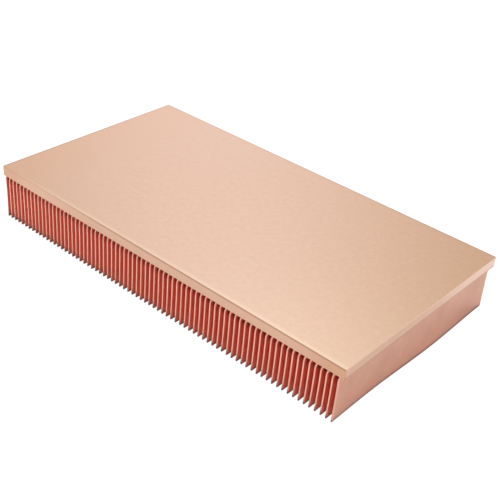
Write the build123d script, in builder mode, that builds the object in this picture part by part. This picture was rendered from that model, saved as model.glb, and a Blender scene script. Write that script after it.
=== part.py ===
from build123d import *
import os

# A skived fin heat sink of bare copper, lying on its fin tips with the plain face of its base up.
# The fins are shaved out of the same block as the base plate, so all of it is one solid.
# X runs along the row of fins, Y along each fin, Z up. The origin is under the middle, at the tips.

# block, in millimetres
length = 150.0
width = 80.0
base_thickness = 3.5
corner_radius = 0.5
edge_chamfer = 0.25

# fins
fin_height = 16.5
fin_pitch = 1.985
fin_root_thickness = 0.47
fin_tip_thickness = 0.42
least_ledge = 1.25
root_blend = 0.2

# A shaved fin isn't straight. It hooks to the left over this stretch right under its root, stands
# upright there and curls slowly to the left again down to its tip.
hook_stretch = 2.0
root_bow = 0.38
tip_lean = 0.70

# The last fin at the right has no neighbour outside it, and handling has bent its free edge.
# Each pair is a share of the fin's length, from the front, and how far its tip leans there.
bent_edge = ((0.0, tip_lean), (0.2, 0.78), (0.65, -0.17), (1.0, 0.2))

upright_height = fin_height - hook_stretch
fin_count = int((length - 2 * least_ledge - fin_root_thickness) / fin_pitch) + 1
last_fin_x = (fin_count - 1) * fin_pitch / 2
full_fins_middle = -fin_pitch / 2
front_y = -width / 2


def fin_section(lean):
    """Section of a fin with its root at x = 0 and its tip leaning to the left."""
    half_root = fin_root_thickness / 2
    half_tip = fin_tip_thickness / 2
    half_upright = half_tip + (half_root - half_tip) * upright_height / fin_height
    with BuildSketch() as section:
        with BuildLine():
            left_middle = (-root_bow - half_upright, upright_height)
            right_middle = (-root_bow + half_upright, upright_height)
            left_top = TangentArc(left_middle, (-half_root, fin_height), tangent=(0, 1))
            left_foot = TangentArc(left_middle, (-lean - half_tip, 0), tangent=(0, -1))
            right_top = TangentArc(right_middle, (half_root, fin_height - root_blend), tangent=(0, 1))
            right_foot = TangentArc(right_middle, (-lean + half_tip, 0), tangent=(0, -1))
            Line(left_foot @ 1, right_foot @ 1)
            # the right face runs out level with the gap's floor
            rise = right_top % 1
            corner = right_top @ 1 + Vector(root_blend * (1 + rise.X) / rise.Y, root_blend)
            TangentArc(right_top @ 1, corner, tangent=rise)
            Line(corner, left_top @ 1)
        make_face()
    return section.sketch


with BuildPart() as heat_sink:
    with BuildSketch(Plane.XY.offset(fin_height)):
        RectangleRounded(length, width, corner_radius)
    extrude(amount=base_thickness)
    chamfer(heat_sink.faces().sort_by(Axis.Z)[-1].edges(), edge_chamfer)

    # every fin but the last has the same section from front to back
    with BuildSketch(Plane.XZ):
        with Locations((full_fins_middle, 0)):
            with GridLocations(fin_pitch, 0, fin_count - 1, 1):
                add(fin_section(tip_lean))
    extrude(amount=width / 2, both=True)

    # the last fin's section changes along it, as its edge is bent
    for share, lean in bent_edge:
        with BuildSketch(Plane.XZ.offset(-front_y - share * width)):
            with Locations((last_fin_x, 0)):
                add(fin_section(lean))
    loft()

heat_sink.part.label = "heat_sink"
os.makedirs("parts", exist_ok=True)
export_step(heat_sink.part, "parts/heat_sink.step")
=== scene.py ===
import math
import random

import bpy
from mathutils import Matrix, Vector


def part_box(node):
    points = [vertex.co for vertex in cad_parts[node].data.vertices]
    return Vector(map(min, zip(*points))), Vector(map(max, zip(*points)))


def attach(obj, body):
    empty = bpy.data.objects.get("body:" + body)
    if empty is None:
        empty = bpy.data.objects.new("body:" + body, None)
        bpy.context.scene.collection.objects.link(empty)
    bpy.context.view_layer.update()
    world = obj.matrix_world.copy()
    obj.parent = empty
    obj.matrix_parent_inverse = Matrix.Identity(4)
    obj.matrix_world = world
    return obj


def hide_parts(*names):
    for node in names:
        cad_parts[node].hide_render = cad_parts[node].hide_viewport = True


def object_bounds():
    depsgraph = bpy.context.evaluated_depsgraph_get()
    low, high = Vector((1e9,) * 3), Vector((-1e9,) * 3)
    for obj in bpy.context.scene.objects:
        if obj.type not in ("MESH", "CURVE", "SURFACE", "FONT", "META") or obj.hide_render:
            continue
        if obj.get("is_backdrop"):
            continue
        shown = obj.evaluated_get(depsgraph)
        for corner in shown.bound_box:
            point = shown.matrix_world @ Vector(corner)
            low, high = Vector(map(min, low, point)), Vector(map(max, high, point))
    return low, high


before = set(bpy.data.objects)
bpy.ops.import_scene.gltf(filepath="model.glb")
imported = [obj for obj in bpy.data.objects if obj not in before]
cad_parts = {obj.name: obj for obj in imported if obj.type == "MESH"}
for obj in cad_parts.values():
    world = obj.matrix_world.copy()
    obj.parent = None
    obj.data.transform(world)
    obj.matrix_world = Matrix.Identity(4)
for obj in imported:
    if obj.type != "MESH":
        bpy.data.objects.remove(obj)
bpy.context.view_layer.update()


# Copper block: one piece of bare copper. A wide blade lifts thin layers off it, one after another,
# and stands each up as a fin. What is left is the base plate, which lies on top here with its
# milled face up. Nothing joins the fins to it, so all of it is a single closed mesh.

MM = 0.001
MICRON = 0.001 * MM
low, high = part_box("heat_sink")
fin_height = 16.5 * MM
pitch = 1.985 * MM
root_thickness = 0.47 * MM
tip_thickness = 0.42 * MM
least_ledge = 1.25 * MM
root_blend = 0.2 * MM
corner_round = 0.5 * MM
edge_round = 0.12 * MM

# Each fin hooks to the left over a short stretch right under its root, stands upright there and
# then curls slowly to the left again down to its tip.
hook_stretch = 2.0 * MM
root_bow = 0.38 * MM
tip_lean = 0.70 * MM

# Handling has bent the last fin's free edge: share of its length from the front, and lean there.
bent_edge = ((0.0, tip_lean), (0.2, 0.78 * MM), (0.65, -0.17 * MM), (1.0, 0.2 * MM))

# No two fins leave the blade quite alike.
lean_spread = 0.05 * MM
lift_spread = 0.08 * MM
ripple = 0.03 * MM
ripple_length = 33 * MM

upright_height = fin_height - hook_stretch
half_upright = (tip_thickness + (root_thickness - tip_thickness) * upright_height / fin_height) / 2
blend_start = fin_height - root_blend
fin_count = int((high.x - low.x - 2 * least_ledge - root_thickness) / pitch) + 1
first_root_x = -(fin_count - 1) * pitch / 2

# How finely the mesh follows a fin's section and its length.
root_steps = 5
hook_steps = 5
curl_steps = 7
row_count = 21

# The finishes, in the order in which the block gets its materials.
MILLED, SAWN, OUTER, INNER, SHEARED, GROUND = range(6)


def face_x(z, side, lean):
    """Sideways place of a fin's left (-1) or right (1) face at height z: two arcs that meet upright."""
    upright = side * half_upright - root_bow
    if z > upright_height:
        end = side * root_thickness / 2
        top = fin_height if side < 0 else blend_start
        share = (z - upright_height) / (top - upright_height)
    else:
        end = side * tip_thickness / 2 - lean
        share = 1 - z / upright_height
    return upright + (end - upright) * share**2


# The right face turns from this slope into the level floor of the gap.
hook_run = root_thickness / 2 - half_upright + root_bow
slope = math.atan(2 * hook_run / (blend_start - upright_height))
blend_radius = root_blend / (1 - math.sin(slope))


def fin_outline(root_x, lean, lift):
    """Left and right face of a fin's section as (x, z), from the gap's floor down to the tip."""
    left, right = [], []
    for step in range(root_steps):
        turn = math.pi / 2 - (math.pi / 2 - slope) * step / root_steps
        x = root_thickness / 2 + blend_radius * (math.cos(slope) - math.cos(turn))
        z = blend_start + blend_radius * (math.sin(turn) - math.sin(slope))
        left.append((root_x + face_x(z, -1, lean), z))
        right.append((root_x + x, z))
    hook = [blend_start - (blend_start - upright_height) * i / hook_steps for i in range(hook_steps)]
    curl = [upright_height * (1 - i / curl_steps) for i in range(curl_steps + 1)]
    for z in hook + curl:
        raised = z + lift * max(0, 1 - z / upright_height) ** 2
        left.append((root_x + face_x(z, -1, lean), raised))
        right.append((root_x + face_x(z, 1, lean), raised))
    return left, right


def eased(pairs, share):
    """Value at a share of the way, eased between pairs of share and value."""
    for (start, first), (end, last) in zip(pairs, pairs[1:]):
        if share <= end:
            t = (share - start) / (end - start)
            return first + (last - first) * (3 - 2 * t) * t**2
    return pairs[-1][1]


chance = random.Random(7)
fins = []
for number in range(fin_count):
    lean = tip_lean + chance.uniform(-lean_spread, lean_spread)
    lift = chance.uniform(0, lift_spread)
    phase = chance.uniform(0, 2 * math.pi)
    fins.append((first_root_x + number * pitch, lean, lift, phase))

# Each row holds one closed outline of the whole block, all with the same count of points: the two
# corners at the left, every fin's left and right face, and the two corners at the right.
side_points = root_steps + hook_steps + curl_steps + 1
fin_points = 2 * side_points
outline_points = 4 + fin_count * fin_points
points = []
for row in range(row_count):
    share = row / (row_count - 1)
    y = low.y + share * (high.y - low.y)
    outline = [(low.x, high.z), (low.x, fin_height)]
    for root_x, lean, lift, phase in fins[:-1]:
        wave = ripple * math.sin(2 * math.pi * y / ripple_length + phase)
        left, right = fin_outline(root_x, lean + wave, lift)
        outline += left + right[::-1]
    left, right = fin_outline(fins[-1][0], eased(bent_edge, share), 0)
    outline += left + right[::-1]
    outline += [(high.x, fin_height), (high.x, high.z)]
    points += [(x, y, z) for x, z in outline]

# The long faces run from each row to the next.
faces, finishes = [], []
for row in range(row_count - 1):
    for spot in range(outline_points):
        after = (spot + 1) % outline_points
        here, behind = row * outline_points, (row + 1) * outline_points
        faces.append((here + spot, behind + spot, behind + after, here + after))
        if spot == outline_points - 1:
            finishes.append(MILLED)
        elif spot in (0, outline_points - 2):
            finishes.append(GROUND)
        elif side_points < spot < outline_points - 2 - side_points:
            finishes.append(INNER)
        else:
            finishes.append(OUTER)

# The front and the back are a strip of small faces down each fin and one face for the plate.
for first, facing in ((0, 1), ((row_count - 1) * outline_points, -1)):
    plate = [first, first + 1]
    for number in range(fin_count):
        start = first + 2 + number * fin_points
        plate += [start, start + fin_points - 1]
        for step in range(side_points - 1):
            left, right = start + step, start + fin_points - 1 - step
            faces.append((left, left + 1, right - 1, right)[::facing])
            finishes.append(SHEARED if number < fin_count - 1 else OUTER)
    plate += [first + outline_points - 2, first + outline_points - 1]
    faces.append(tuple(plate)[::facing])
    finishes.append(SAWN)

sharp_angle = math.radians(35)
mesh = bpy.data.meshes.new("copper_block")
mesh.from_pydata(points, [], faces)
mesh.polygons.foreach_set("material_index", finishes)
mesh.shade_smooth()
mesh.set_sharp_from_angle(angle=sharp_angle)

# The plate's outer edges are eased. The corners inside stay as the blade leaves them.
near = 1 * MM
weights = mesh.attributes.new("bevel_weight_edge", "FLOAT", "EDGE")
for edge in mesh.edges:
    a, b = (mesh.vertices[i].co for i in edge.vertices)
    at_end = min(abs(a.x), abs(b.x)) > high.x - near
    on_top = min(a.z, b.z) > high.z - near
    on_rim = abs(a.x - b.x) < near or abs(a.y) > high.y - near
    size = 0
    if at_end and abs(a.z - b.z) > near:
        size = corner_round
    elif on_top and on_rim:
        size = edge_round
    elif at_end and max(a.z, b.z) < fin_height + near:
        size = edge_round
    weights.data[edge.index].value = size / corner_round
    if size:
        edge.use_edge_sharp = False

block = bpy.data.objects.new("copper_block", mesh)
bpy.context.scene.collection.objects.link(block)
rounding = block.modifiers.new("eased edges", "BEVEL")
rounding.limit_method = "WEIGHT"
rounding.width = corner_round
rounding.segments = 4
rounding.use_clamp_overlap = False
flatness = block.modifiers.new("flat faces stay flat", "WEIGHTED_NORMAL")
flatness.keep_sharp = True


def linear(code):
    """Linear colour, with alpha 1, of an sRGB hex code."""
    shades = [int(code[i : i + 2], 16) / 255 for i in (1, 3, 5)]
    return *[s / 12.92 if s <= 0.04045 else ((s + 0.055) / 1.055) ** 2.4 for s in shades], 1


def add_node(tree, kind, inputs=None, **fields):
    """Adds a node with its fields, and sets or links its inputs."""
    node = tree.nodes.new(kind)
    for name, value in fields.items():
        setattr(node, name, value)
    for name, value in (inputs or {}).items():
        if isinstance(value, bpy.types.NodeSocket):
            tree.links.new(value, node.inputs[name])
        else:
            node.inputs[name].default_value = value
    return node


# Where in the noise the tone runs from dull to bright, and the roughness from low to high.
tone_range = (0.12, 0.4)
satin_range = (0.3, 0.7)


def copper(name, bright, dull, roughness, spread, grain, stretch, depth, patch, shades):
    """Bare copper, all of it metal, in two close tones that follow its grain and its tarnish.

    The grain is so wide and so deep, and is longest along the axis of the smallest stretch. The
    roughness wanders with it by the spread, and a patch is how wide a spot of tarnish is. Each
    shade is an axis, where along it the shade starts and where it is full, its share there and its
    colour. A later shade lies over the earlier ones.
    """
    material = bpy.data.materials.new(name)
    material.use_nodes = True
    tree = material.node_tree
    tree.nodes.clear()
    place = add_node(tree, "ShaderNodeTexCoord").outputs["Object"]
    stretched = add_node(tree, "ShaderNodeMapping", {"Vector": place, "Scale": stretch})
    lines = add_node(
        tree,
        "ShaderNodeTexNoise",
        {"Vector": stretched.outputs["Vector"], "Scale": 1 / grain, "Detail": 3, "Roughness": 0.6},
    )
    clouds = add_node(
        tree,
        "ShaderNodeTexNoise",
        {"Vector": place, "Scale": 1 / patch, "Detail": 2},
    )
    both = add_node(
        tree,
        "ShaderNodeMath",
        {0: lines.outputs["Fac"], 1: clouds.outputs["Fac"]},
        operation="MULTIPLY",
    )
    tone = add_node(
        tree,
        "ShaderNodeMapRange",
        {"Value": both.outputs["Value"], "From Min": tone_range[0], "From Max": tone_range[1]},
    )
    colour = add_node(
        tree,
        "ShaderNodeMix",
        {"Factor": tone.outputs["Result"], 6: linear(dull), 7: linear(bright)},
        data_type="RGBA",
    ).outputs[2]
    axes = add_node(tree, "ShaderNodeSeparateXYZ", {"Vector": place})
    for axis, start, full, share, code in shades:
        reach = add_node(
            tree,
            "ShaderNodeMapRange",
            {"Value": axes.outputs[axis], "From Min": start, "From Max": full, "To Max": share},
            interpolation_type="SMOOTHSTEP",
        )
        colour = add_node(
            tree,
            "ShaderNodeMix",
            {"Factor": reach.outputs["Result"], 6: colour, 7: linear(code)},
            data_type="RGBA",
        ).outputs[2]
    satin = add_node(
        tree,
        "ShaderNodeMapRange",
        {
            "Value": lines.outputs["Fac"],
            "From Min": satin_range[0],
            "From Max": satin_range[1],
            "To Min": roughness - spread,
            "To Max": roughness + spread,
        },
    )
    bump = add_node(
        tree,
        "ShaderNodeBump",
        {"Height": lines.outputs["Fac"], "Distance": depth, "Strength": 1},
    )
    metal = add_node(
        tree,
        "ShaderNodeBsdfPrincipled",
        {
            "Base Color": colour,
            "Metallic": 1,
            "Roughness": satin.outputs["Result"],
            "Normal": bump.outputs["Normal"],
        },
    )
    add_node(tree, "ShaderNodeOutputMaterial", {"Surface": metal.outputs["BSDF"]})
    return material


# Milled copper, the plate's outer face. The face cutter leaves it flat, with a soft satin shine
# and a faint grain along X. Its marks are 0.1 mm apart, too fine to show, and drawn 0.5 mm apart.
mesh.materials.append(
    copper(
        "milled_copper",
        bright="#E3BDA1",
        dull="#DFB89D",
        roughness=0.25,
        spread=0.015,
        grain=0.5 * MM,
        stretch=(0.3, 1, 1),
        depth=0.3 * MICRON,
        patch=1.8 * MM,
        shades=(
            # The front edge carries a painted highlight, a paler band for the bright sky that it
            # mirrors.
            ("Y", low.y + 2 * MM, low.y + 0.4 * MM, 0.7, "#ECCAAE"),
            # The metal is a little darker at the left end.
            ("X", -45 * MM, low.x, 1, "#E2B99B"),
            # The back and left edges are darker. The right edge's rounding carries a painted highlight.
            ("Y", high.y - 1 * MM, high.y - 0.2 * MM, 0.8, "#C8A490"),
            ("X", low.x + 1 * MM, low.x + 0.2 * MM, 0.8, "#C8A490"),
            ("X", high.x - 0.4 * MM, high.x, 0.6, "#F4D4C4"),
        ),
    )
)

# Sawn copper, the plate's front and back. The saw leaves it duller than the top, with fine lines
# along X. They are 0.2 mm apart, too fine to show, and drawn 0.5 mm apart.
mesh.materials.append(
    copper(
        "sawn_copper",
        bright="#D8B098",
        dull="#D4AB94",
        roughness=0.36,
        spread=0.05,
        grain=0.5 * MM,
        stretch=(0.4, 1, 1),
        depth=1.5 * MICRON,
        patch=9 * MM,
        shades=(
            # The right end is browner.
            ("X", 58 * MM, 72 * MM, 0.9, "#CFA084"),
            # A painted shade, a dark reflection in the rounded top edge, runs as a brown line under it
            # and fades out to the left.
            ("Z", 19.2 * MM, 19.7 * MM, 0.7, "#A8806C"),
            ("X", 0, -55 * MM, 0.85, "#D8B098"),
            # The left end is browner too.
            ("X", -58 * MM, -72 * MM, 0.7, "#CFA084"),
        ),
    )
)

# The thin edge of every fin's tip is a greyish brown.
tip_edge = ("Z", 1.2 * MM, 0.2 * MM, 0.7, "#6A4A50")

# Skived copper, the outer side of the first and the last fin, and the end faces of the last. The
# blade leaves it satin, with streaks from root to tip. They are 0.1 mm wide, too fine to show, and
# drawn 0.4 mm wide.
mesh.materials.append(
    copper(
        "skived_copper",
        bright="#D5A28B",
        dull="#C99580",
        roughness=0.34,
        spread=0.05,
        grain=0.4 * MM,
        stretch=(1, 1, 0.04),
        depth=1.5 * MICRON,
        patch=7 * MM,
        shades=(
            # It gets redder toward the tip.
            ("Z", 10 * MM, 2 * MM, 0.3, "#DE9A82"),
            # Painted shade darkens it under the plate and toward the back.
            ("Z", 14.4 * MM, 16 * MM, 0.25, "#9A6450"),
            ("Y", 5 * MM, 35 * MM, 0.15, "#9A6450"),
            # The front edge carries a painted highlight, a pale line where it catches the light.
            ("Y", low.y + 0.7 * MM, low.y, 0.6, "#F0B8A6"),
            # Painted shade darkens it toward the tip, where it mirrors the block's shadow on the paper.
            ("Z", 2.2 * MM, 0, 0.2, "#7A4A46"),
            tip_edge,
        ),
    )
)

# Fresh copper, inside the gaps. It has never been handled and is a clear, matt pink, and light
# gets redder each time that it crosses the gap. The streaks are those of the skived faces.
mesh.materials.append(
    copper(
        "fresh_copper",
        bright="#FFAA94",
        dull="#FAA48E",
        roughness=0.6,
        spread=0.05,
        grain=0.4 * MM,
        stretch=(1, 1, 0.04),
        depth=1.5 * MICRON,
        patch=7 * MM,
        shades=(
            # Painted light makes the gaps at the left paler.
            ("X", 20 * MM, low.x, 0.9, "#FFC8B8"),
            # Painted shade makes the roots a deep reddish brown, where little light reaches.
            ("Z", 12.5 * MM, 15.2 * MM, 1, "#B04820"),
            # The roots are pink again at the front and the back, where painted light stands for the
            # light coming in, with a painted highlight right at the edge.
            ("Y", low.y + 2.2 * MM, low.y, 1, "#FFAB94"),
            ("Y", high.y - 2.2 * MM, high.y, 1, "#FFAB94"),
            ("Y", low.y + 0.4 * MM, low.y, 0.3, "#FFB8A4"),
            ("Y", high.y - 0.4 * MM, high.y, 0.3, "#FFB8A4"),
            # Painted shade makes the tips redder and darker, where the paper beneath lies in the
            # block's shadow.
            ("Z", 3 * MM, 0, 0.6, "#C84430"),
            tip_edge,
        ),
    )
)

# Sheared copper, the fins' end faces. The cut is clean, so they catch the light as pale pink
# lines. Its grain is 0.1 mm wide, too fine to show, and drawn 0.3 mm wide.
mesh.materials.append(
    copper(
        "sheared_copper",
        bright="#FFBEAC",
        dull="#FCB6A4",
        roughness=0.5,
        spread=0.04,
        grain=0.3 * MM,
        stretch=(1, 1, 0.3),
        depth=1 * MICRON,
        patch=5 * MM,
        shades=(
            # Painted shade darkens the lines under the plate.
            ("Z", 13.2 * MM, 16.2 * MM, 0.55, "#D4866E"),
            # Painted shade darkens them toward the tip, where they mirror the block's shadow on the
            # paper.
            ("Z", 3.2 * MM, 0.5 * MM, 0.75, "#7A4A46"),
            tip_edge,
        ),
    )
)

# Ground copper, the plate's left and right ends. It is as dull as the sawn faces, with its grain
# along Y, which is 0.1 mm wide, too fine to show, and drawn 0.5 mm wide.
mesh.materials.append(
    copper(
        "ground_copper",
        bright="#D8B098",
        dull="#D4AB94",
        roughness=0.36,
        spread=0.05,
        grain=0.5 * MM,
        stretch=(1, 0.4, 1),
        depth=1.5 * MICRON,
        patch=9 * MM,
        shades=(
            # Painted light makes it paler toward the back, where it mirrors the brightly lit paper
            # behind the block.
            ("Y", -10 * MM, high.y, 0.6, "#EECFC4"),
            # The upper edge carries a painted highlight, and painted shade darkens the lower edge.
            ("Z", 19.6 * MM, 19.9 * MM, 0.6, "#F4D4C4"),
            ("Z", 17.4 * MM, 16.8 * MM, 0.65, "#B48870"),
        ),
    )
)

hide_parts("heat_sink")
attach(block, "root")


# Studio floor: a sheet of pale matt paper that the block stands on. The camera sees it as white,
# with no more than a trace of the block's shadow, and the metal mirrors it mostly as lit paper.

floor_half = 2.5
floor_mesh = bpy.data.meshes.new("floor")
corners = [(x * floor_half, y * floor_half, 0) for x, y in ((-1, -1), (1, -1), (1, 1), (-1, 1))]
floor_mesh.from_pydata(corners, [], [(0, 1, 2, 3)])
floor = bpy.data.objects.new("floor", floor_mesh)
bpy.context.scene.collection.objects.link(floor)

white_strength = 1.1
white_to_camera = 0.85
white_to_metal = 0.1
paper = bpy.data.materials.new("matt_paper")
paper.use_nodes = True
tree = paper.node_tree
tree.nodes.clear()
path = add_node(tree, "ShaderNodeLightPath")
matt = add_node(tree, "ShaderNodeBsdfDiffuse", {"Color": linear("#F2F4F6")})
white = add_node(
    tree, "ShaderNodeEmission", {"Color": linear("#FFFFFF"), "Strength": white_strength}
)
seen = add_node(
    tree,
    "ShaderNodeMath",
    {0: path.outputs["Is Camera Ray"], 1: white_to_camera},
    operation="MULTIPLY",
)
mirrored = add_node(
    tree,
    "ShaderNodeMath",
    {0: path.outputs["Is Glossy Ray"], 1: white_to_metal, 2: seen.outputs["Value"]},
    operation="MULTIPLY_ADD",
)
lifted = add_node(
    tree,
    "ShaderNodeMixShader",
    {0: mirrored.outputs["Value"], 1: matt.outputs["BSDF"], 2: white.outputs["Emission"]},
)
add_node(tree, "ShaderNodeOutputMaterial", {"Surface": lifted.outputs["Shader"]})
floor_mesh.materials.append(paper)
floor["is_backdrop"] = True


# Studio light: a warm pale room with a bright ceiling. A wide, soft strip of cool light reaches
# up to the ceiling behind the block on the left, where a small skylight adds to it, and another in
# front on the right. Two lamps light the paper, which the upright faces and the gaps mirror.

# The room's red, green and blue, and what each of the other lights adds to them.
room_light = (0.74, 0.672, 0.56)
strip_light = (0.364, 0.454, 0.69)
ceiling_light = (0.26, 0.33, 0.42)
skylight_light = (0.46, 0.7, 0.78)

# The ceiling starts 33 degrees up and is full at 64. The strips reach 22 degrees to each side.
ceiling_start = 0.54
ceiling_full = 0.9
strip_reach = 0.374
skylight_reach = math.cos(math.radians(12))


def heading(azimuth, elevation):
    """Unit vector at an angle from +X towards +Y, and an angle up, in degrees."""
    a, e = math.radians(azimuth), math.radians(elevation)
    return Vector((math.cos(e) * math.cos(a), math.cos(e) * math.sin(a), math.sin(e)))


world = bpy.data.worlds.new("studio")
bpy.context.scene.world = world
world.use_nodes = True
tree = world.node_tree
tree.nodes.clear()
sky = add_node(tree, "ShaderNodeTexCoord").outputs["Generated"]


def along(direction, dark, bright, both_ways=False):
    """How far the sky lies along a direction, eased from 0 at dark to 1 at bright."""
    value = add_node(
        tree, "ShaderNodeVectorMath", {0: sky, 1: direction}, operation="DOT_PRODUCT"
    ).outputs["Value"]
    if both_ways:
        value = add_node(tree, "ShaderNodeMath", {0: value}, operation="ABSOLUTE").outputs["Value"]
    return add_node(
        tree,
        "ShaderNodeMapRange",
        {"Value": value, "From Min": dark, "From Max": bright},
        interpolation_type="SMOOTHSTEP",
    ).outputs["Result"]


ceiling = along(heading(0, 90), ceiling_start, ceiling_full)
below = add_node(tree, "ShaderNodeMath", {0: 1, 1: ceiling}, operation="SUBTRACT")
strip = add_node(
    tree,
    "ShaderNodeMath",
    {0: along(heading(222.5, 0), strip_reach, 0, both_ways=True), 1: below.outputs["Value"]},
    operation="MULTIPLY",
).outputs["Value"]
skylight = along(heading(126, 47), skylight_reach, 1)
light = room_light
for part, colour in ((strip, strip_light), (ceiling, ceiling_light), (skylight, skylight_light)):
    light = add_node(
        tree, "ShaderNodeVectorMath", {0: part, 1: colour, 2: light}, operation="MULTIPLY_ADD"
    ).outputs["Vector"]
room = add_node(tree, "ShaderNodeBackground", {"Color": light, "Strength": 1})
clear = add_node(tree, "ShaderNodeBackground", {"Color": linear("#FFFFFF"), "Strength": 1})
path = add_node(tree, "ShaderNodeLightPath")
shown = add_node(
    tree,
    "ShaderNodeMixShader",
    {
        0: path.outputs["Is Camera Ray"],
        1: room.outputs["Background"],
        2: clear.outputs["Background"],
    },
)
add_node(tree, "ShaderNodeOutputWorld", {"Surface": shown.outputs["Shader"]})

# Both lamps are 1 m away. The metal mirrors the paper that they light, but not the lamps.
for name, direction, size, energy, colour in (
    ("key_light", heading(131, 50), 0.35, 1.6, (0.85, 0.95, 1)),
    ("fill_light", heading(285, 55), 0.5, 3.7, (1, 1, 1)),
):
    lamp = bpy.data.lights.new(name, "AREA")
    lamp.size = size
    lamp.energy = energy
    lamp.color = colour
    stand = bpy.data.objects.new(name, lamp)
    stand.location = direction
    stand.rotation_euler = direction.to_track_quat("Z", "Y").to_euler()
    stand.visible_glossy = False
    bpy.context.scene.collection.objects.link(stand)


# Camera: it looks down at the block from the front and right, about 320 mm away, and is rolled
# by a few degrees, as the photograph's was.

camera_place = Vector((173.687, -205.083, 178.609)) * MM
camera_forward = Vector((-0.53054, 0.64982, -0.54430))
camera_roll = math.radians(4.745)
camera_data = bpy.data.cameras.new("camera")
camera_data.sensor_fit = "HORIZONTAL"
camera_data.sensor_width = 36
camera_data.lens = 67.268
camera_data.clip_start = 0.01
camera = bpy.data.objects.new("camera", camera_data)
turn = camera_forward.to_track_quat("-Z", "Y").to_matrix() @ Matrix.Rotation(camera_roll, 3, "Z")
camera.matrix_world = Matrix.Translation(camera_place) @ turn.to_4x4()
bpy.context.scene.collection.objects.link(camera)
bpy.context.scene.camera = camera
bpy.context.scene.view_settings.view_transform = "Standard"

# Light crosses a gap between two fins many times, and each crossing makes it redder.
bpy.context.scene.cycles.glossy_bounces = 12

low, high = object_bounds()
